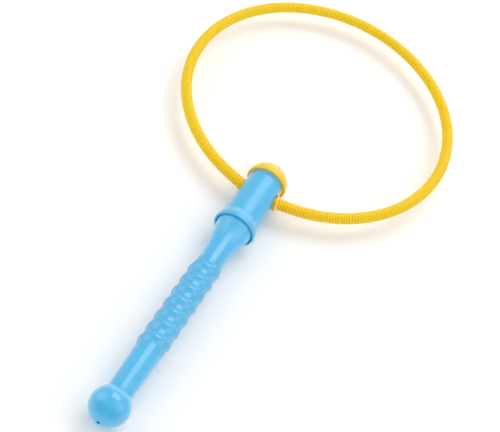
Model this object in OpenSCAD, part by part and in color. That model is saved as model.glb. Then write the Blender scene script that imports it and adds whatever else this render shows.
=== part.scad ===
/* [Hoop] */
// Diameter of the hoop, across the middle of its tube
hoop_d = 230; // [150:1:320]
// Diameter of the ribbed tube, over its ribs
tube_d = 9.4; // [8.4:0.1:11]
// Depth of the grooves between the ribs
rib_depth = 0.65; // [0.3:0.05:0.9]
// Wall of the ribbed tube at its grooves
tube_wall = 0.65; // [0.5:0.05:0.8]
// Number of ribs round the hoop
rib_count = 200; // [80:8:200]

/* [Socket sleeve] */
// Outside diameter of the sleeve
sleeve_d = 29.6; // [28:0.1:32]
// Wall of the sleeve
sleeve_wall = 2; // [1.6:0.1:2.4]
// Length of the sleeve, from its mouth to its notched end
sleeve_len = 55.2; // [50:0.1:80]
// Height of the rolled lip over the sleeve, at the mouth
lip_swell = 2.5; // [2.2:0.1:4]
// Wall of the lip
lip_wall = 1.8; // [1.4:0.1:2.2]
// Depth of the cylindrical part of the bell inside the lip
bell_depth = 4.5; // [3:0.1:5]
// Length of the cone between the bell and the bore
bell_cone = 5; // [4:0.1:6]
// Length of the lip past the cone
lip_run = 2.5; // [2:0.1:5]
// Distance from the notched end to the middle of the tube
notch_depth = 12.7; // [9:0.1:14]
// Thickness of the ledge that stops the hub inside the sleeve
ledge_t = 2.4; // [1.6:0.1:3]
// Height of the ledge over the bore
ledge_h = 1; // [0.6:0.1:1.4]

/* [Hub] */
// Wall of the hub's barrel and of its floor
hub_wall = 1.8; // [1.4:0.1:2.2]
// Length of the barrel past the arms
hub_tail = 8; // [6:0.1:10]
// Length of each arm inside the tube
spigot_reach = 12; // [8:0.5:14]
// Height of the barbs on the arms
barb_h = 0.25; // [0.1:0.05:0.3]
// Number of barbs on each arm
barb_count = 3; // [1:1:3]
// Height of the collars over the tube
collar_swell = 0.1; // [0:0.05:0.4]
// Width of the flange round the left collar
collar_flange_left = 0.5; // [0.5:0.1:1.8]
// Width of the flange round the right collar
collar_flange_right = 2; // [1:0.1:2.2]
// Thickness of each flange at its rim
collar_rim_t = 0.6; // [0.4:0.1:0.6]
// Distance that the left collar stands out of the sleeve
collar_reach_left = 1; // [1:0.1:2]
// Distance that the right collar stands out of the sleeve
collar_reach_right = 2.6; // [2:0.1:3.4]
// Distance that the cap stands out past the sleeve
cap_reach = 2.2; // [1.6:0.1:3.4]
// Radius of the edge round the cap
cap_edge_r = 1; // [0.6:0.1:1.6]
// Height of the cap's dome over its edge
dome_h = 16; // [10:0.1:17]
// Wall of the cap
cap_wall = 1.9; // [1.5:0.1:2.4]
// Depth of the cap's skirt inside the hub
skirt_len = 4; // [2.5:0.1:4.4]

/* [Handle] */
// Gap between the handle's flare and the lip round it
flare_gap = 0.7; // [0.6:0.1:1.4]
// Length of the flare, from the mouth to the plain stem
flare_len = 38; // [30:1:42]
// Diameter of the stem above the grip
stem_d = 19.2; // [18.6:0.1:20]
// Length of the plain stem between the flare and the grip
stem_run = 1.5; // [0.5:0.5:20]
// Distance between the plug's end and the ledge inside the sleeve
plug_inset = 3.9; // [2:0.1:8]
// Chamfer that leads the plug into the sleeve
plug_lead = 1; // [0.5:0.1:2]
// Diameter over the grip at its upper end
grip_d = 23.2; // [22.4:0.1:25]
// Diameter over the grip at its lower end
grip_end_d = 23; // [22.4:0.1:25]
// Depth of the groove that winds round the grip
grip_groove = 1.7; // [0.6:0.05:1.8]
// Turns of the groove
grip_turns = 7.5; // [5:0.5:9]
// Pitch of the groove
grip_pitch = 12.3; // [10:0.1:15]
// Angle at which the groove leaves the shank, from the top towards +X
groove_start = 254; // [0:1:359]
// Diameter of the shank at the grip
shank_d = 21; // [19.4:0.1:21.4]
// Diameter of the shank at the ball
shank_end_d = 19; // [18.4:0.1:19.4]
// Length of the shank
shank_len = 38.4; // [25:0.1:60]
// Wall of the handle, and its least wall under the grip's groove
handle_wall = 1.5; // [1.2:0.1:2.2]
// Wall of the plug under the seal ring's groove
plug_wall = 1.4; // [1:0.1:2.4]

/* [Pommel] */
// Diameter of the ball
ball_d = 30; // [28:0.1:36]
// Wall of the ball
ball_wall = 1.8; // [1.4:0.1:2.6]
// Depth of the seat for the shank in the ball
ball_seat = 0.6; // [0.3:0.1:0.8]
// Length of the ball's neck inside the shank
neck_len = 12; // [6:0.5:16]
// Wall of the neck
neck_wall = 1.6; // [1.2:0.1:2.4]
// Diameter of the vent hole at the pole
vent_d = 3; // [2:0.1:4]

/* [Seal ring] */
// Thickness of the seal ring's section
seal_d = 1.6; // [1.2:0.1:1.8]
// Distance from the plug's end to the middle of the seal ring
seal_inset = 6; // [4:0.1:9]

/* [Fits] */
// Radial clearance of the plug in the sleeve, and of the seal ring
run_gap = 0.06; // [0.03:0.01:0.1]
// Clearance between seated pieces that stay together
seat_gap = 0.1; // [0.05:0.01:0.15]
// Axial clearance between the handle's shoulder and the sleeve
stop_gap = 0.3; // [0.2:0.05:0.5]

/* [Hidden] */
$fn = 96;

// Overrun of the cuts past the faces that they open
cut = 1;

hoop_r = hoop_d / 2;
tube_r = tube_d / 2;
tube_bore_r = tube_r - rib_depth - tube_wall;
sleeve_r = sleeve_d / 2;
bore_r = sleeve_r - sleeve_wall;
lip_r = sleeve_r + lip_swell;
bell_r = lip_r - lip_wall;
collar_r = tube_r + collar_swell;
notch_r = collar_r + seat_gap;
barrel_r = bore_r - seat_gap;
barrel_bore_r = barrel_r - hub_wall;
cap_r = sleeve_r + cap_reach;
skirt_r = barrel_bore_r - seat_gap;
flare_r = bell_r - flare_gap;
stem_r = stem_d / 2;
shank_r = shank_d / 2;
shank_end_r = shank_end_d / 2;
grip_top_r = grip_d / 2;
grip_end_r = grip_end_d / 2;
handle_bore_r = min(stem_r, shank_end_r, grip_end_r - grip_groove) - handle_wall;
plug_r = bore_r - run_gap;
seal_groove_r = plug_r - seal_d - run_gap;
plug_bore_r = seal_groove_r - plug_wall;
ball_r = ball_d / 2;

// The tube is drawn with this many sides. The barbs clear its flat sides.
ring_sides = 8;
spigot_r = tube_bore_r * cos(180 / ring_sides) - barb_h - seat_gap;

// The tube leaves the hub along two straight runs, which meet the hoop's
// circle at a tangent. Each run is at least one tube diameter long.
splay = asin((sleeve_r + collar_reach_right + tube_d) / hoop_r);
tangent_run = hoop_r * tan(splay);

// Stations along the wand's axis, from the middle of the hoop. The handle
// points towards -Y.
cross_y = -hoop_r / cos(splay);
notch_y = cross_y + (bore_r + sleeve_wall / 2) * tan(splay);
top_y = notch_y + notch_depth;
mouth_y = top_y - sleeve_len;
hub_floor_y = cross_y - hub_tail;
ledge_y = hub_floor_y - ledge_t;
plug_top_y = ledge_y - plug_inset;
grip_top_y = mouth_y - flare_len - stem_run;
grip_len = grip_turns * grip_pitch;
grip_end_y = grip_top_y - grip_len;
shank_end_y = grip_end_y - shank_len;
ball_y = shank_end_y + ball_seat - sqrt(ball_r * ball_r - shank_end_r * shank_end_r);
seal_y = plug_top_y - seal_inset;

// The part's origin is under the middle of its length, on the surface that
// the sleeve's lip, or a cap that is wider, lies on.
far_y = hoop_r + tube_r;
near_y = ball_y - ball_r;
hoop_y = -(far_y + near_y) / 2;
axis_z = max(lip_r, cap_r);

module at_hoop() {
    translate([0, hoop_y, axis_z]) children();
}

// Turns a shape that is drawn about Z to the wand's axis, +Z towards +Y.
module on_axis() {
    at_hoop() rotate([-90, 0, 0]) children();
}

// Points along an arc about [r, y] from angle a to angle b.
function bend(r, y, size, a, b, steps = 8) =
    [for (i = [0:steps]) let (t = a + (b - a) * i / steps) [r + size * cos(t), y + size * sin(t)]];

// Points along a dome of radius r and height h over y, from angle a to b.
function dome(r, h, y, a, b, steps) =
    [for (i = [0:steps]) let (t = a + (b - a) * i / steps) [r * cos(t), y + h * sin(t)]];

// Rings of the ribbed tube. A station runs from the left collar, round the
// hoop and back to the right collar.
bore_skip = 8;
ring_count = 2 * rib_count;
bore_count = ring_count / bore_skip;
left_face = (sleeve_r + collar_reach_left) / cos(splay);
right_face = (sleeve_r + collar_reach_right) / cos(splay);
left_run = tangent_run - left_face;
right_run = tangent_run - right_face;
arc_turn = 360 - 2 * splay;
arc_run = hoop_r * arc_turn * PI / 180;
tube_run = left_run + arc_run + right_run;

// Middle of the tube and the direction away from the hoop's middle there.
function heading(s) =
    s < left_run ? -90 - splay
    : s > left_run + arc_run ? -90 - splay - arc_turn
    : -90 - splay - arc_turn * (s - left_run) / arc_run;
function slip(s) = s < left_run ? s - left_run : max(0, s - left_run - arc_run);
function tube_mid(s) =
    let (h = heading(s))
    [hoop_r * cos(h) + slip(s) * sin(h), hoop_r * sin(h) - slip(s) * cos(h)];
function tube_ring(s, r) =
    let (h = heading(s), mid = tube_mid(s))
    [for (j = [0:ring_sides - 1]) let (t = 360 * j / ring_sides)
        [mid[0] + r * cos(t) * cos(h), mid[1] + r * cos(t) * sin(h), r * sin(t)]];
function wall_faces(rings, first, sides) =
    [for (k = [0:rings - 1]) for (j = [0:sides - 1])
        let (a = first + k * sides + j, b = first + k * sides + (j + 1) % sides)
        each [[a, b, a + sides], [b, b + sides, a + sides]]];
function flip(faces) = [for (f = faces) [f[0], f[2], f[1]]];
function end_faces(outer, inner) =
    [for (j = [0:ring_sides - 1]) let (k = (j + 1) % ring_sides)
        each [[outer + j, inner + j, outer + k], [outer + k, inner + j, inner + k]]];

module hoop_tube() {
    outer = [for (i = [0:ring_count])
        each tube_ring(tube_run * i / ring_count, tube_r - (i % 2 == 0 ? rib_depth : 0))];
    bore = [for (i = [0:bore_count]) each tube_ring(tube_run * i / bore_count, tube_bore_r)];
    bore_first = len(outer);
    last_outer = ring_count * ring_sides;
    last_bore = bore_first + bore_count * ring_sides;
    faces = concat(
        flip(wall_faces(ring_count, 0, ring_sides)),
        wall_faces(bore_count, bore_first, ring_sides),
        flip(end_faces(0, bore_first)),
        end_faces(last_outer, last_bore));
    color("gold") at_hoop() polyhedron(concat(outer, bore), faces);
}

// Places a shape drawn along +Z on one of the hub's arms, which start where
// they cross on the wand's axis. side is 1 on the right and -1 on the left.
module on_arm(side) {
    at_hoop() translate([0, cross_y, 0]) rotate([0, 0, side > 0 ? splay : 180 - splay])
        rotate([0, 90, 0]) children();
}

// Each barb rises square to the arm and slopes down towards the arm's tip.
module hub_arm(side, face) {
    barb_pitch = spigot_reach / (barb_count + 1);
    barbs = [for (i = [1:barb_count]) let (z = face + i * barb_pitch)
        each [[spigot_r, z], [spigot_r + barb_h, z], [spigot_r, z + barb_pitch / 2]]];
    on_arm(side) rotate_extrude() polygon(concat(
        [[0, 0], [spigot_r, 0]], barbs, [[spigot_r, face + spigot_reach], [0, face + spigot_reach]]));
}

// The web fills the sleeve's notch between the collar and the cap.
module hub_web() {
    web_w = 2 * (notch_r - seat_gap);
    difference() {
        on_axis() translate([0, 0, notch_y])
            intersection() {
                difference() {
                    cylinder(r = sleeve_r, h = notch_depth);
                    translate([0, 0, -cut]) cylinder(r = barrel_r - hub_wall / 2, h = notch_depth + 2 * cut);
                }
                translate([-lip_r, -web_w / 2, 0]) cube([2 * lip_r, web_w, notch_depth]);
            }
        for (side = [-1, 1])
            on_arm(side) translate([0, 0, barrel_r - collar_r]) cylinder(r = notch_r, h = sleeve_r);
    }
}

module hub_body() {
    barrel_len = top_y - hub_floor_y;
    color("gold") union() {
        difference() {
            union() {
                on_axis() translate([0, 0, hub_floor_y]) cylinder(r = barrel_r, h = barrel_len);
                hub_web();
            }
            on_axis() translate([0, 0, hub_floor_y + hub_wall]) cylinder(r = barrel_bore_r, h = barrel_len);
        }
        hub_arm(-1, left_face);
        hub_arm(1, right_face);
        at_hoop() translate([0, cross_y, 0]) sphere(r = spigot_r + barb_h);
    }
}

// The cap is a hollow half ball: a dome, a flat underside and a skirt.
module hub_cap() {
    rim_y = top_y + cap_edge_r;
    under_y = top_y + cap_wall;
    inner_h = dome_h - cap_wall;
    profile = concat(
        [[skirt_r - cap_wall, top_y - skirt_len], [skirt_r, top_y - skirt_len], [skirt_r, top_y]],
        bend(cap_r - cap_edge_r, rim_y, cap_edge_r, -90, 0),
        dome(cap_r, dome_h, rim_y, 2, 90, 24),
        dome(cap_r - cap_wall, inner_h, rim_y, 90, asin((under_y - rim_y) / inner_h), 16),
        [[skirt_r - cap_wall, under_y]]);
    color("gold") on_axis() rotate_extrude() polygon(profile);
}

// A collar is a bush in the notch. Outside the sleeve a saddle carries its
// flange, which slopes down to the tube.
saddle_share = 0.35;
module collar(side, face, flange_w) {
    bush_start = barrel_r - collar_r;
    saddle_r = collar_r + flange_w * saddle_share;
    back = sleeve_r / cos(splay) + seat_gap;
    edge_r = collar_rim_t / 2;
    difference() {
        union() {
            difference() {
                on_arm(side) rotate_extrude() polygon(concat(
                    [[0, bush_start], [saddle_r, bush_start], [saddle_r, back]],
                    bend(collar_r + flange_w - edge_r, back + edge_r, edge_r, -90, 45),
                    [[collar_r, face], [0, face]]));
                on_axis() translate([0, 0, mouth_y]) cylinder(r = sleeve_r + seat_gap, h = sleeve_len + cap_r);
            }
            difference() {
                on_arm(side) translate([0, 0, bush_start]) cylinder(r = collar_r, h = face - bush_start);
                on_axis() translate([0, 0, mouth_y]) cylinder(r = barrel_r + seat_gap, h = sleeve_len + cap_r);
            }
        }
        on_arm(side) cylinder(r = spigot_r + seat_gap, h = face + cut);
    }
}

module left_collar() {
    color("gold") collar(-1, left_face, collar_flange_left);
}

module right_collar() {
    color("gold") collar(1, right_face, collar_flange_right);
}

// Radius and station of the cone inside the lip, from the bell to the bore.
cone_low_y = mouth_y + bell_depth;
cone_high_y = cone_low_y + bell_cone;
cone_slope = bell_cone / (bell_r - bore_r);

module socket_sleeve() {
    roll_r = lip_wall / 2;
    lip_len = bell_depth + bell_cone + lip_run;
    swell_share = [for (i = [0:12]) (1 - cos(180 * i / 12)) / 2];
    swell_low_y = mouth_y + lip_len / 3;
    swell_run = lip_len - lip_len / 3;
    flare = [for (i = [0:12]) [sleeve_r + lip_swell * swell_share[i], mouth_y + lip_len - swell_run * i / 12]];
    profile = concat(
        [[sleeve_r, top_y]],
        flare,
        bend(lip_r - roll_r, mouth_y + roll_r, roll_r, 0, -180),
        [[bell_r, cone_low_y], [bore_r, cone_high_y], [bore_r, ledge_y], [bore_r - ledge_h, ledge_y],
         [bore_r - ledge_h, hub_floor_y], [bore_r, hub_floor_y], [bore_r, top_y]]);
    color("deepskyblue") difference() {
        on_axis() rotate_extrude() polygon(profile);
        for (side = [-1, 1]) {
            on_arm(side) translate([0, 0, barrel_r - collar_r]) cylinder(r = notch_r, h = sleeve_r);
            at_hoop() translate([side > 0 ? 0 : -sleeve_r - cut, notch_y, -notch_r])
                cube([sleeve_r + cut, notch_depth + cut, 2 * notch_r]);
        }
    }
}

module seal_ring() {
    color("dimgray") on_axis() translate([0, 0, seal_y])
        rotate_extrude() translate([bore_r - run_gap - seal_d / 2, 0]) circle(r = seal_d / 2);
}

// Share of the flare's height that is left at each share of its length.
flare_curve_share = 1.8;

// The grip is one lobe between the turns of a helical groove. Each ring of
// corners is turned by one side from the ring below it, so that the corners
// follow the groove. The end rings lie inside the shank and the stem.
grip_sides = 20;
grip_step = grip_pitch / grip_sides;
grip_steps = grip_sides * grip_turns + 1;
grip_fade = grip_pitch / 2;
function grip_limit(root_r, full_r, depth) =
    root_r - seat_gap + (full_r - root_r + seat_gap) * max(0, depth) / grip_fade;
function grip_ring(k) =
    let (y = grip_end_y + (k - 0.5) * grip_step,
         full_r = grip_end_r + (grip_top_r - grip_end_r) * (y - grip_end_y) / grip_len,
         limit_r = min(grip_limit(shank_r, grip_end_r, y - grip_end_y),
                       grip_limit(stem_r, grip_top_r, grip_top_y - y)))
    [for (i = [0:grip_sides - 1])
        let (turn = groove_start + 360 * (k - 0.5 + i) / grip_sides,
             r = min(limit_r, full_r - grip_groove * pow(2 * i / grip_sides - 1, 2)))
        [r * sin(turn), -r * cos(turn), y]];

module grip() {
    last = grip_steps * grip_sides;
    faces = concat(
        flip(wall_faces(grip_steps, 0, grip_sides)),
        [[for (j = [0:grip_sides - 1]) j]],
        [[for (j = [0:grip_sides - 1]) last + grip_sides - 1 - j]]);
    on_axis() polyhedron([for (k = [0:grip_steps]) each grip_ring(k)], faces);
}

module handle_shell() {
    groove_w = seal_d + 2 * seat_gap;
    core_r = handle_bore_r + handle_wall / 2;
    shoulder_y = cone_low_y + (bell_r - flare_r) * cone_slope - stop_gap;
    plug_root_y = shoulder_y + (flare_r - plug_r) * cone_slope;
    flare = [for (i = [0:24]) let (t = i / 24)
        [stem_r + (flare_r - stem_r) * pow(1 - t, flare_curve_share), mouth_y - flare_len * t]];
    hollow = [for (p = flare) [p[0] - handle_wall, p[1]]];
    outside = concat(
        [[0, plug_top_y], [plug_r - plug_lead, plug_top_y], [plug_r, plug_top_y - plug_lead],
         [plug_r, seal_y + groove_w / 2], [seal_groove_r, seal_y + groove_w / 2],
         [seal_groove_r, seal_y - groove_w / 2], [plug_r, seal_y - groove_w / 2],
         [plug_r, plug_root_y], [flare_r, shoulder_y]],
        flare,
        [[stem_r, grip_top_y], [core_r, grip_top_y], [core_r, grip_end_y], [shank_r, grip_end_y],
         [shank_end_r, shank_end_y], [0, shank_end_y]]);
    inside = concat(
        [[0, plug_top_y + cut], [plug_bore_r, plug_top_y + cut], [plug_bore_r, plug_root_y],
         [flare_r - handle_wall, shoulder_y - handle_wall]],
        hollow,
        [[handle_bore_r, grip_top_y], [handle_bore_r, shank_end_y - cut], [0, shank_end_y - cut]]);
    color("deepskyblue") difference() {
        union() {
            on_axis() rotate_extrude() polygon(outside);
            grip();
        }
        on_axis() rotate_extrude() polygon(inside);
    }
}

module pommel_ball() {
    neck_r = handle_bore_r - seat_gap;
    neck_bore_r = neck_r - neck_wall;
    color("deepskyblue") difference() {
        union() {
            difference() {
                on_axis() translate([0, 0, ball_y]) sphere(r = ball_r);
                on_axis() translate([0, 0, shank_end_y]) cylinder(r = shank_end_r + seat_gap, h = ball_r);
            }
            on_axis() translate([0, 0, shank_end_y - ball_wall / 2])
                cylinder(r = neck_r, h = neck_len + ball_wall / 2);
        }
        on_axis() translate([0, 0, ball_y]) sphere(r = ball_r - ball_wall);
        on_axis() translate([0, 0, ball_y]) cylinder(r = neck_bore_r, h = ball_r + neck_len);
        on_axis() translate([0, 0, near_y - cut]) cylinder(r = vent_d / 2, h = ball_r);
    }
}

hoop_tube();
hub_body();
hub_cap();
left_collar();
right_collar();
socket_sleeve();
seal_ring();
handle_shell();
pommel_ball();
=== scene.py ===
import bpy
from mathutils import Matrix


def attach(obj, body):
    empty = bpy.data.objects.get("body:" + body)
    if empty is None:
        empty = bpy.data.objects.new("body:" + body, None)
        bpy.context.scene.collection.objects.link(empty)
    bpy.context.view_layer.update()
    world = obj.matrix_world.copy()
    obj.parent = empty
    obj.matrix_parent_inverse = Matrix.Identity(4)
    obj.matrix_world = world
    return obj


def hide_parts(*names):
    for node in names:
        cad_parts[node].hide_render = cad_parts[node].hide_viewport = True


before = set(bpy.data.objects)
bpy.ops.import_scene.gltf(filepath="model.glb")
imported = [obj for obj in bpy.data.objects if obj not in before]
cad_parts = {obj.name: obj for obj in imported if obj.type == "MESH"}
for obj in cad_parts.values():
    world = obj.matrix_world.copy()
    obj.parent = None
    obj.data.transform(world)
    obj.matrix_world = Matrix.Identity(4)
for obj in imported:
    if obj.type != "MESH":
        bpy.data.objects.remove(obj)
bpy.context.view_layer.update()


# Ribbed hoop. A corrugated tube of flexible yellow polyethylene, bent round
# into a ring and pushed on to the hub's two arms, up to the collars.
import bpy
import numpy as np

MM = 0.001
AXIS_Z = 17.3
HOOP_Y = 116.954
HOOP_R = 115
TUBE_R = 4.69
TUBE_BORE_R = 3.4
RIB_DEPTH = 0.65
RIB_COUNT, RIB_ROWS, TUBE_COLUMNS, RIB_CURVE = 296, 8, 20, 2.4
SPLAY = np.radians(13.4763)
LEFT_FACE, RIGHT_FACE = 16.247, 17.893
# The warm colours, fading out over this run from the tube's ends, are painted bounce light and
# shade near the hub.
BOUNCE_PAINT_RUN = 30
HOOP_CREST = (0.88, 0.6, 0.006, 1), (0.9, 0.65, 0.008, 1)
# The root colour is painted shade: a darker, oranger yellow at the bottom of the grooves.
HOOP_ROOT_SHADE = (0.9, 0.37, 0.002, 1)
BOUNCE_PAINT_CREST, BOUNCE_PAINT_ROOT = (0.99, 0.58, 0.004, 1), (0.98, 0.36, 0.001, 1)


def closed_mesh(name, grid, poles=False, **marks):
    """A closed surface through grid[row, column], a point each, in mm.

    A column joins the next and the last joins the first. So do the rows,
    unless poles is set: then the first and last rows are one point each and
    a fan of triangles closes them. marks are numbers on the same grid.
    """
    def flat(values):
        if poles:
            inner_rows = values[1:-1].reshape(-1, *values.shape[2:])
            return np.concatenate([values[0, :1], inner_rows, values[-1, :1]])
        return values.reshape(-1, *values.shape[2:])

    rows, columns = grid.shape[:2]
    points = flat(grid) * MM
    if poles:
        ring = 1 + np.arange((rows - 2) * columns).reshape(rows - 2, columns)
        near, far = ring[:-1], ring[1:]
        first, last = ring[0], ring[-1]
        fans = np.concatenate([
            np.stack([0 * first, np.roll(first, -1), first], -1),
            np.stack([0 * last + len(points) - 1, last, np.roll(last, -1)], -1)])
    else:
        near = np.arange(rows * columns).reshape(rows, columns)
        far = np.roll(near, -1, 0)
        fans = np.zeros((0, 3), int)
    quads = np.stack([near, np.roll(near, -1, 1), np.roll(far, -1, 1), far], -1).reshape(-1, 4)
    a, b, c = points[np.concatenate([quads[:, :3], quads[:, [0, 2, 3]], fans])].transpose(1, 0, 2)
    if (a * np.cross(b, c)).sum() < 0:
        quads, fans = quads[:, ::-1], fans[:, ::-1]
    corners = np.concatenate([quads.ravel(), fans.ravel()]).astype(np.int32)
    starts = np.concatenate([4 * np.arange(len(quads)),
                             4 * len(quads) + 3 * np.arange(len(fans))])
    mesh = bpy.data.meshes.new(name)
    mesh.vertices.add(len(points))
    mesh.vertices.foreach_set("co", points.ravel())
    mesh.loops.add(len(corners))
    mesh.loops.foreach_set("vertex_index", corners)
    mesh.polygons.add(len(starts))
    mesh.polygons.foreach_set("loop_start", starts.astype(np.int32))
    mesh.polygons.foreach_set("use_smooth", np.ones(len(starts), bool))
    mesh.update(calc_edges=True)
    for mark, values in marks.items():
        marked = mesh.attributes.new(mark, "FLOAT", "POINT").data
        marked.foreach_set("value", flat(values).astype(np.float32))
    piece = bpy.data.objects.new(name, mesh)
    bpy.context.scene.collection.objects.link(piece)
    return piece


class Wire:
    """The value on a node's output, so that shader maths reads as sums."""

    def __init__(self, finish, socket):
        self.finish, self.socket = finish, socket

    def maths(self, operation, *values):
        return self.finish.node("ShaderNodeMath", {"operation": operation}, *values)

    def __add__(self, other):
        return self.maths("ADD", self, other)

    def __sub__(self, other):
        return self.maths("SUBTRACT", self, other)

    def __rsub__(self, other):
        return self.maths("SUBTRACT", other, self)

    def __mul__(self, other):
        return self.maths("MULTIPLY", self, other)

    def __truediv__(self, other):
        return self.maths("DIVIDE", self, other)

    def __pow__(self, other):
        return self.maths("POWER", self, other)

    def __abs__(self):
        return self.maths("ABSOLUTE", self)

    __radd__, __rmul__ = __add__, __mul__


class Finish:
    """The material of one kind of surface. Numbers given by name are the
    same all over it and go straight on the shader's sockets."""

    def __init__(self, name, **fixed):
        self.material = bpy.data.materials.new(name)
        self.material.use_nodes = True
        self.tree = self.material.node_tree
        self.shader = self.tree.nodes["Principled BSDF"]
        for socket, value in fixed.items():
            self.shader.inputs[socket.replace("_", " ")].default_value = value

    def node(self, kind, settings, *values, out=0, **named):
        """Adds a node, sets it up and fills its inputs, in order or by name."""
        made = self.tree.nodes.new(kind)
        for key, value in settings.items():
            setattr(made, key, value)
        pairs = list(zip(made.inputs, values))
        pairs += [(made.inputs[key.replace("_", " ")], value) for key, value in named.items()]
        for socket, value in pairs:
            self.fill(socket, value)
        return Wire(self, made.outputs[out])

    def fill(self, socket, value):
        if isinstance(value, Wire):
            self.tree.links.new(value.socket, socket)
        else:
            socket.default_value = value

    def noise(self, scale, detail=2, roughness=0.5, stretch=(1, 1, 1)):
        """Noise from -0.5 to 0.5 in the object's metres, stretched by axis."""
        place = self.node("ShaderNodeVectorMath", {"operation": "MULTIPLY"},
                          self.node("ShaderNodeTexCoord", {}, out="Object"), stretch)
        return self.node("ShaderNodeTexNoise", {}, Vector=place, Scale=scale, Detail=detail,
                         Roughness=roughness) - 0.5

    def mark(self, name):
        return self.node("ShaderNodeAttribute", {"attribute_name": name}, out="Fac")

    def mix(self, share, first, second):
        """From the first colour to the second by a share from 0 to 1."""
        made = self.tree.nodes.new("ShaderNodeMix")
        made.data_type = "RGBA"
        for index, value in ((0, share), (6, first), (7, second)):
            self.fill(made.inputs[index], value)
        return Wire(self, made.outputs[2])

    def feed(self, **wires):
        for socket, wire in wires.items():
            self.fill(self.shader.inputs[socket.replace("_", " ")], wire)

    def relief(self, height, depth):
        """Bump whose height from 0 to 1 stands for a real depth in mm."""
        self.feed(Normal=self.node("ShaderNodeBump", {}, Strength=1, Distance=depth * MM,
                                   Height=height))


def show(piece, finish, slot, body, *nodes):
    """Finishes a piece that stands for CAD nodes and rides with a body."""
    piece.data.materials.append(finish.material)
    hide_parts(*nodes)
    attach(piece, body)


tangent_run = HOOP_R * np.tan(SPLAY)
left_run = tangent_run - LEFT_FACE
arc_run = 2 * HOOP_R * (np.pi - SPLAY)
tube_run = left_run + arc_run + tangent_run - RIGHT_FACE


def round_tube(station, radius):
    """Rings round the tube's middle line, which is two straight runs that
    meet the hoop's circle at a tangent. A ring is the middle point plus
    radius (cos a outwards + sin a upwards)."""
    turned_by = np.clip(station - left_run, 0, arc_run) / HOOP_R
    heading = -np.pi / 2 - SPLAY - turned_by
    slip = (station - left_run - turned_by * HOOP_R)[:, None]
    out = np.stack([np.cos(heading), np.sin(heading), 0 * heading], -1)
    ahead = out[:, [1, 0, 2]] * [1, -1, 1]
    middle = HOOP_R * out + slip * ahead + [0, HOOP_Y, AXIS_Z]
    a = np.arange(TUBE_COLUMNS)[:, None] * 2 * np.pi / TUBE_COLUMNS
    ring = np.cos(a) * out[:, None] + np.sin(a) * np.array([0, 0, 1])
    return middle[:, None] + radius[:, None, None] * ring


# A rib is a bead. Its side turns down into the groove, so the drop from the
# crest is a power of the distance from the crest.
rib_place = np.arange(RIB_COUNT * RIB_ROWS + 1) / RIB_ROWS
drop = abs(2 * (rib_place % 1) - 1) ** RIB_CURVE
ribs = round_tube(rib_place / RIB_COUNT * tube_run, TUBE_R - RIB_DEPTH * drop)
inside = round_tube(np.linspace(tube_run, 0, RIB_COUNT + 1), np.full(RIB_COUNT + 1, TUBE_BORE_R))
groove = np.concatenate([drop, np.ones(RIB_COUNT + 1)])[:, None] * np.ones(TUBE_COLUMNS)
# The tube's ends are stretched over the arms. Near the hub the yellow is painted warmer, as bounce
# light and shade.
along_tube = np.concatenate([rib_place / RIB_COUNT, np.linspace(1, 0, RIB_COUNT + 1)])
from_end = np.minimum(along_tube, 1 - along_tube) * tube_run
near_hub = np.exp(-from_end / BOUNCE_PAINT_RUN)[:, None] * np.ones(TUBE_COLUMNS)
hoop = closed_mesh("ribbed_hoop", np.concatenate([ribs, inside]),
                   groove=groove, near_hub=near_hub)

hoop_finish = Finish("hoop_polyethylene", IOR=1.5, Specular_IOR_Level=0.35, Subsurface_Weight=0.4,
                     Subsurface_Radius=(1, 0.7, 0.1), Subsurface_Scale=0.003)
cloud, grain = hoop_finish.noise(30), hoop_finish.noise(900, 3)
valley, bounce_paint = hoop_finish.mark("groove"), hoop_finish.mark("near_hub")
# Near the hub the crest and root colours turn warmer: painted bounce light and shade.
crest = hoop_finish.mix(bounce_paint, hoop_finish.mix(cloud + 0.5, *HOOP_CREST), BOUNCE_PAINT_CREST)
root_shade = hoop_finish.mix(bounce_paint, HOOP_ROOT_SHADE, BOUNCE_PAINT_ROOT)
# The colour darkens towards each groove's root: painted shade in the grooves.
hoop_finish.feed(Base_Color=hoop_finish.mix(valley ** 1.5 * 0.8, crest, root_shade),
                 Roughness=0.34 + valley * 0.15 + abs(grain) * 0.2)
hoop_finish.relief(grain + 0.5, 0.02)
show(hoop, hoop_finish, "hoop_yellow", "head", "hoop_tube")


# Hub and its collars. A moulded yellow insert inside the sleeve: its arms
# carry the tube, its webs fill the notches, and a flanged collar goes round
# each arm. The solids have the right shape and are kept.
def moulded(name, colour, deep, worn, **fixed):
    """Glossy moulded plastic: clouds and flow marks in the colour, a fine
    skin, handling scuffs, and edges worn where the mesh has a wear mark."""
    finish = Finish(name, IOR=1.5, **fixed)
    cloud, flow = finish.noise(22, 3), finish.noise(260, 2, stretch=(1, 0.06, 1))
    scuff, wear = finish.noise(700, 4, 0.65), finish.mark("wear")
    tone = finish.mix(cloud * 1.2 + flow * 0.4 + 0.5, deep, colour)
    finish.feed(Base_Color=finish.mix(wear * (0.5 + scuff) * 0.35, tone, worn),
                Roughness=0.3 + abs(cloud) * 0.1 + abs(scuff) * 0.14 + wear * 0.06)
    finish.relief(finish.noise(1500, 3) * 0.5 + finish.noise(160, 1) + 0.5, 0.012)
    return finish


HUB_YELLOW = (0.94, 0.58, 0.012, 1), (0.92, 0.52, 0.008, 1), (0.96, 0.66, 0.08, 1)
hub_finish = moulded("hub_plastic", *HUB_YELLOW, Coat_Weight=0.4, Coat_Roughness=0.15)
for name in ("hub_body", "left_collar", "right_collar"):
    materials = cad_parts[name].data.materials
    materials.clear()
    materials.append(hub_finish.material)


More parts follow.
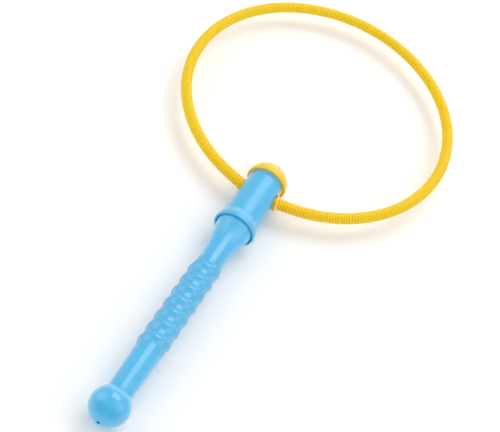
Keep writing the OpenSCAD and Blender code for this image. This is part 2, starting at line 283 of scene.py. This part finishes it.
# End cap. A hollow yellow half ball over the sleeve's end, a little wider than
# the sleeve, held by a skirt inside the hub.
def outline(corners, step=1.2, chords=6, guard=0.12, tight=1.4):
    """Points [r, y] along straight runs between corners [r, y, radius].

    Each corner turns on an arc of its radius. The runs are cut into steps,
    with a guard point near each end that keeps their shading flat. The second
    result is near 1 on tight arcs, where an edge wears, and 0 elsewhere.
    """
    corners = np.array(corners, float)
    points, wear = [], []
    for before, corner, after in zip(np.roll(corners, 1, 0), corners, np.roll(corners, -1, 0)):
        middle, radius = corner[:2], corner[2]
        arc, worn = middle[None], np.zeros(1)
        if radius > 0:
            u, v = before[:2] - middle, after[:2] - middle
            u, v = u / np.hypot(*u), v / np.hypot(*v)
            half = np.arccos(np.clip(u @ v, -1, 1)) / 2
            turn = np.pi - 2 * half
            centre = middle + (u + v) / np.hypot(*(u + v)) * radius / np.sin(half)
            a, b = (middle + w * radius / np.tan(half) - centre for w in (u, v))
            t = np.linspace(0, 1, chords + 1)[:, None]
            arc = centre + (np.sin((1 - t) * turn) * a + np.sin(t * turn) * b) / np.sin(turn)
            worn = np.sin(np.pi * t[:, 0]) * (radius < tight)
        if points:
            start, run = points[-1][-1], arc[0] - points[-1][-1]
            length = np.hypot(*run)
            if length > 3 * guard:
                cuts = np.linspace(0, length, int(length / step) + 2)
                cuts[0], cuts[-1] = guard, length - guard
                points.append(start + run * cuts[:, None] / length)
                wear.append(0 * cuts)
        points.append(arc)
        wear.append(worn)
    return np.concatenate(points), np.concatenate(wear)


def bend(r, y, radius, start, end, steps=8, height=None):
    """Corners along an arc about [r, y], from one angle to the other. With a
    height of its own along the axis the arc is a part of an ellipse."""
    t = np.radians(np.linspace(start, end, steps + 1))
    arc = np.stack([r + radius * np.cos(t), y + (height or radius) * np.sin(t), 0 * t], -1)
    return arc.tolist()


def round_axis(profile, turn):
    """A profile [r, y] carried round the wand's axis. turn is the angle from
    the top towards +X, of each column or of each row and column."""
    r, y = profile[:, :1], profile[:, 1:]
    return np.stack([r * np.sin(turn), y + 0 * turn, AXIS_Z + r * np.cos(turn)], -1)


def turned(name, corners, poles=False, columns=96):
    """A piece whose outline of corners is carried round the wand's axis."""
    profile, wear = outline(corners)
    turn = np.arange(columns) * 2 * np.pi / columns
    return closed_mesh(name, round_axis(profile, turn), poles, wear=wear[:, None] + 0 * turn)


TOP_Y = 14.705
CAP_R, CAP_EDGE, CAP_WALL, DOME_H, SKIRT_R, SKIRT_LEN = 17, 1, 1.9, 16, 10.8, 4
dome_y, floor_y, inner_h = TOP_Y + CAP_EDGE, TOP_Y + CAP_WALL, DOME_H - CAP_WALL
skirt_in, skirt_y = SKIRT_R - CAP_WALL, TOP_Y - SKIRT_LEN
floor_angle = np.degrees(np.arcsin((floor_y - dome_y) / inner_h))
cap = turned("end_cap", [
    *bend(0, dome_y, CAP_R, 90, 1, 40, DOME_H),
    *bend(CAP_R - CAP_EDGE, dome_y, CAP_EDGE, 0, -90, 10),
    [SKIRT_R, TOP_Y, 0.3], [SKIRT_R, skirt_y, 0.4],
    [skirt_in, skirt_y, 0.4], [skirt_in, floor_y, 0.3],
    *bend(0, dome_y, CAP_R - CAP_WALL, floor_angle, 90, 24, inner_h)], poles=True)
CAP_YELLOW = (0.81, 0.58, 0.03, 1), (0.80, 0.52, 0.02, 1), (0.87, 0.68, 0.14, 1)
cap_finish = moulded("cap_plastic", *CAP_YELLOW, Coat_Weight=0.4, Coat_Roughness=0.15)
show(cap, cap_finish, "hub_yellow", "head", "hub_cap")


# Socket sleeve. Blue moulding with a rolled lip that the handle's flare sits
# in, and a round-bottomed notch on each side that lets the collars through.
MOUTH_Y, SLEEVE_R, BORE_R, LIP_R, BELL_R = -40.495, 14.8, 12.8, 17.3, 15.5
ARM_Y, NOTCH_R, NOTCH_CORNER, NOTCH_DRAFT, RIM_EDGE = -1.302, 4.9, 2, 0.15, 0.35
LEVEL_Y, LEDGE_TOP, LEDGE_H, LEDGE_IN = -7.2, -9.302, 2.4, 1
LIP_EDGE, SWELL_LEN, SWELL_LOW, SWELL_STEPS, BELL_LOW, BELL_LEN = 0.9, 11.5, 2, 25, 4.5, 9.5
BLUE = (0.055, 0.46, 0.77, 1), (0.045, 0.42, 0.74, 1), (0.13, 0.54, 0.81, 1)


def notched_rim():
    """The rim's line over the quarter from the right notch's middle to the
    top: angle round the axis outside and inside, and station outside and
    inside. In the notch the line is the cut of the arm's cylinder with each
    wall. Its sides stay as far apart through the wall, and it leaves them
    over a rounded corner. Then it runs level along the sleeve's end."""
    def cut(z, radius):
        return ARM_Y + np.sqrt(radius ** 2 - z ** 2) * np.tan(SPLAY) - \
            np.sqrt(np.maximum(NOTCH_R ** 2 - z ** 2, 0)) / np.cos(SPLAY)

    z_low = NOTCH_R * np.sin(np.linspace(0, np.pi / 2, 12))
    t = np.linspace(0, np.pi / 2, 8)
    z_high = NOTCH_R + NOTCH_DRAFT + NOTCH_CORNER * (1 - np.cos(t))
    y_high = TOP_Y - NOTCH_CORNER * (1 - np.sin(t))
    z = np.concatenate([z_low, z_high])
    outer, inner = np.arcsin(z / SLEEVE_R), np.arcsin(z / BORE_R)
    level = np.linspace(outer[-1], np.pi / 2, 19)[1:]
    lean = (inner[-1] - outer[-1]) * (np.pi / 2 - level) / (np.pi / 2 - outer[-1])
    end = np.full(len(level), TOP_Y)
    return (np.concatenate([outer, level]), np.concatenate([inner, level + lean]),
            np.concatenate([cut(z_low, SLEEVE_R), y_high, end]),
            np.concatenate([cut(z_low, BORE_R), y_high, end]))


def all_round(quarter, angle=False):
    """A quarter's values mirrored to a full turn. An angle is measured from
    +X, so it is mirrored as an angle."""
    half = np.concatenate([quarter, (np.pi - quarter if angle else quarter)[-2::-1]])
    return np.concatenate([half, (2 * np.pi - half if angle else half)[-2:0:-1]])


outer, inner, rim_out, rim_in = (all_round(part, k < 2) for k, part in enumerate(notched_rim()))
along = np.stack([SLEEVE_R * (np.roll(outer, -1) - np.roll(outer, 1)) % (2 * np.pi * SLEEVE_R),
                  np.roll(rim_out, -1) - np.roll(rim_out, 1)])
into = np.stack([along[1], -along[0]]) / np.hypot(*along)

wall, edge = SLEEVE_R - BORE_R, RIM_EDGE
t = np.linspace(0, np.pi / 2, 6)
# Rows over the rim: how far each is set back into the wall's face, and how
# deep it is from the outer face.
setback = np.concatenate([[edge + 0.5, edge + 0.15], edge * (1 - np.sin(t)), edge * (1 - np.cos(t)),
                          [edge + 0.15, edge + 0.5]])
deep = np.concatenate([[0, 0], edge * (1 - np.cos(t)), wall - edge * (1 - np.sin(t)), [wall, wall]])
share = (deep / wall)[:, None]
rim_r = SLEEVE_R - deep[:, None] + 0 * outer
rim_turn = outer + (inner - outer) * share + setback[:, None] * into[0] / SLEEVE_R
rim_y = rim_out + (rim_in - rim_out) * share + setback[:, None] * into[1]

down = np.linspace(0, 1, 14)[1:, None]
out_r = np.full((13, len(outer)), SLEEVE_R)
out_turn = rim_turn[0] + (outer - rim_turn[0]) * down
out_y = rim_y[0] + (LEVEL_Y - rim_y[0]) * down
up = np.linspace(0, 1, 10)[:-1, None]
in_r = np.full((9, len(outer)), BORE_R)
in_turn = outer + (rim_turn[-1] - outer) * up
in_y = LEDGE_TOP + (rim_y[-1] - LEDGE_TOP) * up

swell = (1 - np.cos(np.linspace(0, np.pi, SWELL_STEPS))) / 2
lip_line = np.stack([SLEEVE_R + (LIP_R - SLEEVE_R) * swell,
                     MOUTH_Y + np.linspace(SWELL_LEN, SWELL_LOW, SWELL_STEPS), 0 * swell], -1)
lower, lower_wear = outline([
    [SLEEVE_R, LEVEL_Y - 1, 0], *lip_line.tolist(),
    *bend(LIP_R - LIP_EDGE, MOUTH_Y + LIP_EDGE, LIP_EDGE, 0, -180, 12),
    [BELL_R, MOUTH_Y + BELL_LOW, 0.8], [BORE_R, MOUTH_Y + BELL_LEN, 0.8],
    [BORE_R, LEDGE_TOP - LEDGE_H, 0.2],
    [BORE_R - LEDGE_IN, LEDGE_TOP - LEDGE_H, 0.2], [BORE_R - LEDGE_IN, LEDGE_TOP, 0.2],
    [BORE_R - 0.1, LEDGE_TOP, 0]])
low = round_axis(lower, np.pi / 2 - outer)


def from_x(radius, turn, y):
    """Points at an angle from +X towards the top."""
    return np.stack([radius * np.cos(turn), y, AXIS_Z + radius * np.sin(turn)], -1)


sleeve_grid = np.concatenate([
    from_x(rim_r, rim_turn, rim_y)[::-1], from_x(in_r, in_turn, in_y)[::-1],
    low[::-1], from_x(out_r, out_turn, out_y)[::-1]])
rim_wear = np.sin(np.pi * np.clip(setback / edge, 0, 1)) + (setback < edge / 2)
wear = np.concatenate([np.clip(rim_wear, 0, 1)[::-1], np.zeros(9), lower_wear[::-1], np.zeros(13)])
sleeve = closed_mesh("socket_sleeve_shell", sleeve_grid, wear=wear[:, None] + 0 * outer)
sleeve_finish = moulded("sleeve_plastic", *BLUE, Coat_Weight=0.9, Coat_Roughness=0.38)
show(sleeve, sleeve_finish, "sky_blue", "head", "socket_sleeve")


# Seal ring. A black rubber ring in the plug's groove, whose squeeze holds the
# handle in the sleeve.
SEAL_MID_R, SEAL_Y, SEAL_CORD_R, SEAL_SIDES = 11.94, -21.602, 0.8, 16
seal_line = bend(SEAL_MID_R, SEAL_Y, SEAL_CORD_R, 0, 360 - 360 / SEAL_SIDES, SEAL_SIDES - 1)
seal = turned("plug_seal_ring", seal_line)
seal_finish = Finish("seal_rubber", IOR=1.5)
dust = seal_finish.noise(1200, 4, 0.7)
black = seal_finish.mix(dust + 0.5, (0.012, 0.012, 0.014, 1), (0.03, 0.03, 0.034, 1))
seal_finish.feed(Base_Color=black, Roughness=0.6 + dust * 0.3)
seal_finish.relief(dust + 0.5, 0.03)
show(seal, seal_finish, "seal_rubber", "seal", "seal_ring")


# Handle. One thin blue moulding: a plug for the sleeve, a flare that closes
# its lip, a stem, a grip with one groove wound round it, and a shank.
PLUG_TOP, SHOULDER_Y, PLUG_ROOT, SEAL_SLOT = -15.602, -35.277, -31.184, 0.9
GRIP_TOP, GRIP_END, SHANK_END = -79.995, -172.245, -210.645
PLUG_R, SEAL_ROOT_R, PLUG_BORE_R, FLARE_R = 12.74, 11.08, 9.68, 14.95
STEM_R, SHANK_R, SHANK_END_R, BORE_OF_HANDLE, HANDLE_WALL = 9.6, 10.5, 9.5, 8, 1.5
GRIP_TOP_R, GRIP_END_R, GROOVE, CREST, PITCH = 11.6, 11.5, 1.2, 0.28, 12.3
GROOVE_ZERO, FIRST_TURN, LAST_TURN, FADE = -82.524, -7.5, -0.5, 1 / 6
FLARE_LEN, FLARE_CURVE = 38, 1.8
# The bead's corners: out from the flare, and over the sleeve's mouth.
BEAD = (0, 2.3), (0.35, 1.7), (0.35, 0.8), (0, 0.4)
GRIP_COLUMNS, GRIP_ROWS = 80, 309

fall = np.linspace(0, 1, 40)
flare = np.stack([STEM_R + (FLARE_R - STEM_R) * (1 - fall) ** FLARE_CURVE,
                  MOUTH_Y - FLARE_LEN * fall, 0 * fall], -1)
# Down the outside: the plug with the seal's slot, the shoulder, a bead
# that nearly fills the lip's gap, and the flare.
above, above_wear = outline([
    [PLUG_BORE_R, PLUG_TOP, 0.4], [PLUG_R - 1, PLUG_TOP, 0.25], [PLUG_R, PLUG_TOP - 1, 0.4],
    [PLUG_R, SEAL_Y + SEAL_SLOT, 0.12], [SEAL_ROOT_R, SEAL_Y + SEAL_SLOT, 0.3],
    [SEAL_ROOT_R, SEAL_Y - SEAL_SLOT, 0.3], [PLUG_R, SEAL_Y - SEAL_SLOT, 0.12],
    [PLUG_R, PLUG_ROOT, 0.6], [FLARE_R, SHOULDER_Y, 0.8],
    *([FLARE_R + out, MOUTH_Y + over, 0.3] for out, over in BEAD),
    *flare.tolist(), [STEM_R, GRIP_TOP + 0.2, 0]])
# Down the shank and back up through the bore.
below, below_wear = outline([
    [SHANK_R, GRIP_END - 0.2, 0], [SHANK_END_R, SHANK_END, 0.25], [BORE_OF_HANDLE, SHANK_END, 0.25],
    [BORE_OF_HANDLE, GRIP_TOP, 0.5], [STEM_R - HANDLE_WALL, GRIP_TOP + 1, 0.5],
    *(flare[::-1] - [HANDLE_WALL, 0, 0]).tolist(),
    [FLARE_R - HANDLE_WALL, SHOULDER_Y - HANDLE_WALL, 0.8],
    [PLUG_BORE_R, PLUG_ROOT, 0.8], [PLUG_BORE_R, PLUG_TOP - 0.6, 0]])

# Columns run with the groove through the grip, each at the same share of the
# way from one turn of the groove to the next.
between = np.arange(GRIP_COLUMNS) / GRIP_COLUMNS
grip_rows = np.linspace(GRIP_TOP, GRIP_END, GRIP_ROWS)


def column_turns(y):
    """Where each column is at a station, in turns from the top towards +X."""
    return (np.clip(y, GRIP_END, GRIP_TOP)[:, None] - GROOVE_ZERO) / PITCH - between


def grip_radius(y, turns):
    """The grip's radius. From a ridge's crest, where away is 0, to the middle
    of the groove, where it is 1, it drops by a parabola away^2 / CREST that
    turns at CREST into a wider one, open outwards. The ridge fades into the
    shank and the stem over a part of a turn at its ends, which are on the
    wand's underside."""
    turns = (turns + 0.5) % 1 - 0.5
    winding = (y[:, None] - GROOVE_ZERO) / PITCH - turns
    band = np.floor(winding + 1e-6)
    taper = (GRIP_TOP_R - GRIP_END_R) / (GRIP_TOP - GRIP_END)
    full = GRIP_END_R + taper * (y[:, None] - GRIP_END)
    away = abs(2 * (winding - band) - 1)
    lobe = full - GROOVE * np.where(away < CREST, away ** 2 / CREST,
                                    1 - (1 - away) ** 2 / (1 - CREST))
    reach = np.minimum(turns + band - FIRST_TURN, LAST_TURN - turns - band) / FADE
    reach = np.clip(reach, 0, 1)
    plain = np.where(y[:, None] > (GRIP_TOP + GRIP_END) / 2, STEM_R, SHANK_R)
    return plain + (lobe - plain) * reach ** 2 * (3 - 2 * reach)


grip_r = grip_radius(grip_rows, column_turns(grip_rows))
grip_turn = 2 * np.pi * column_turns(grip_rows)
grip = np.stack([grip_r * np.sin(grip_turn), grip_rows[:, None] + 0 * grip_turn,
                 AXIS_Z + grip_r * np.cos(grip_turn)], -1)
top_turn, end_turn = grip_turn[0], grip_turn[-1]
# The bore's columns turn back by what is left of the grip's whole turns.
left_over = (end_turn[0] - top_turn[0] + np.pi) % (2 * np.pi) - np.pi
return_share = np.clip((below[:, 1] - GRIP_END) / (GRIP_TOP - GRIP_END), 0, 1)
return_share[:int(np.argmax(below[:, 0] < SHANK_END_R - 0.5))] = 0
below_turn = end_turn - left_over * return_share[:, None]
handle_grid = np.concatenate([round_axis(above, top_turn), grip[1:-1],
                              round_axis(below, below_turn)])
handle_wear = np.concatenate([above_wear, np.zeros(GRIP_ROWS - 2), below_wear])
blue_finish = moulded("handle_plastic", *BLUE, Coat_Weight=1, Coat_Roughness=0.1)
handle = closed_mesh("handle_moulding", handle_grid,
                     wear=handle_wear[:, None] * np.ones(GRIP_COLUMNS))
show(handle, blue_finish, "sky_blue", "handle", "handle_shell")


# Ball end. A hollow blue ball pushed on to the shank with a neck inside it,
# and a small vent at its pole.
BALL_R, BALL_WALL, BALL_Y, VENT_R, SEAT_R = 15, 1.8, -221.654, 1.5, 9.6
NECK_R, NECK_BORE_R, NECK_LEN = 7.9, 6.3, 12


def angle_at(radius, r):
    return np.degrees(np.arccos(r / radius))


ball_in = BALL_R - BALL_WALL
ball = turned("pommel_ball_shell", [
    *bend(0, BALL_Y, BALL_R, angle_at(BALL_R, SEAT_R + 0.25), -angle_at(BALL_R, VENT_R + 0.3), 56),
    [VENT_R, BALL_Y - np.sqrt(BALL_R ** 2 - VENT_R ** 2) - 0.02, 0.25],
    *bend(0, BALL_Y, ball_in, -angle_at(ball_in, VENT_R), angle_at(ball_in, NECK_BORE_R), 40),
    [NECK_BORE_R, SHANK_END + NECK_LEN, 0.3], [NECK_R, SHANK_END + NECK_LEN, 0.3],
    [NECK_R, SHANK_END, 0.1], [SEAT_R, SHANK_END, 0.1],
    [SEAT_R, BALL_Y + np.sqrt(BALL_R ** 2 - SEAT_R ** 2), 0.2]])
show(ball, blue_finish, "sky_blue", "handle", "pommel_ball")


# Studio. A pale floor, an overhead softbox towards the hoop with a narrow lamp
# above it, a softbox on each side, a bright back wall, a soft fill from the
# front, and the photograph's camera.
from mathutils import Matrix, Vector


class Room(Finish):
    """The light from all round, in the nodes of a world."""

    def __init__(self, world):
        world.use_nodes = True
        self.tree = world.node_tree
        self.shader = self.tree.nodes["Background"]


def add_floor(half_width=4):
    square = np.array([[-1, -1, 0], [1, -1, 0], [1, 1, 0], [-1, 1, 0]], float) * half_width
    mesh = bpy.data.meshes.new("studio_floor")
    mesh.from_pydata(square.tolist(), [], [(0, 1, 2, 3)])
    floor = bpy.data.objects.new("studio_floor", mesh)
    bpy.context.scene.collection.objects.link(floor)
    finish = Finish("studio_floor_paint", Roughness=0.8)
    finish.feed(Base_Color=finish.mix(finish.noise(40) + 0.5, (0.94, 0.94, 0.94, 1),
                                      (0.96, 0.96, 0.96, 1)))
    mesh.materials.append(finish.material)


def add_softbox(name, direction, distance, width, height, radiance, mirrored=True):
    """A panel at a distance from the wand, facing it, with the power that
    gives it a radiance. One that isn't mirrored lights the wand but doesn't
    show in its gloss."""
    lamp = bpy.data.lights.new(name, "AREA")
    lamp.shape, lamp.size, lamp.size_y = "RECTANGLE", width, height
    lamp.energy = radiance * np.pi * width * height
    panel = bpy.data.objects.new(name, lamp)
    towards = Vector(direction).normalized()
    across = Vector((0, 1, 0)).cross(towards).normalized()
    panel.matrix_world = Matrix.Translation(towards * distance) @ Matrix((
        across, towards.cross(across), towards)).transposed().to_4x4()
    panel.visible_glossy = mirrored
    bpy.context.scene.collection.objects.link(panel)


add_floor()
add_softbox("overhead_softbox", (0.12, 0.515, 0.85), 1.5, 1.15, 0.95, 2.1)
add_softbox("right_softbox", (0.786, 0.02, 0.614), 1.5, 1.4, 0.9, 0.9)
add_softbox("left_softbox", (-0.82, -0.04, 0.57), 1.5, 1.5, 1, 0.88)
add_softbox("lamp", (0.06, 0.52, 0.85), 1.7, 0.04, 0.3, 4)
add_softbox("back_wall_light", (0, 0.99, 0.14), 2.5, 3, 0.9, 1.3)
add_softbox("front_fill", (0, -0.95, 0.3), 1.5, 1.2, 0.6, 2.5, mirrored=False)

world = bpy.data.worlds.new("studio")
bpy.context.scene.world = world
room = Room(world)
# Level all round, and dimmer from behind the camera.
room.shader.inputs["Color"].default_value = (1, 1, 1, 1)
from_wand = room.node("ShaderNodeTexCoord", {}, out="Generated")
towards_hoop = room.node("ShaderNodeSeparateXYZ", {}, from_wand, out=1)
room.feed(Strength=room.node("ShaderNodeMapRange", {"interpolation_type": "SMOOTHSTEP"},
                             towards_hoop, -0.75, -0.2, 0.3, 0.74))

camera = bpy.data.objects.new("camera", bpy.data.cameras.new("camera"))
camera.data.lens, camera.data.sensor_width = 86.4, 36
camera.data.clip_end = 20
camera.matrix_world = Matrix((
    (0.85872655, -0.50206358, 0.10257128, 0.1004),
    (0.45491375, 0.65476639, -0.60360124, -0.58531),
    (0.23588597, 0.56498949, 0.79066091, 0.75627),
    (0, 0, 0, 1)))
bpy.context.scene.collection.objects.link(camera)
bpy.context.scene.camera = camera
bpy.context.scene.view_settings.view_transform = "Standard"
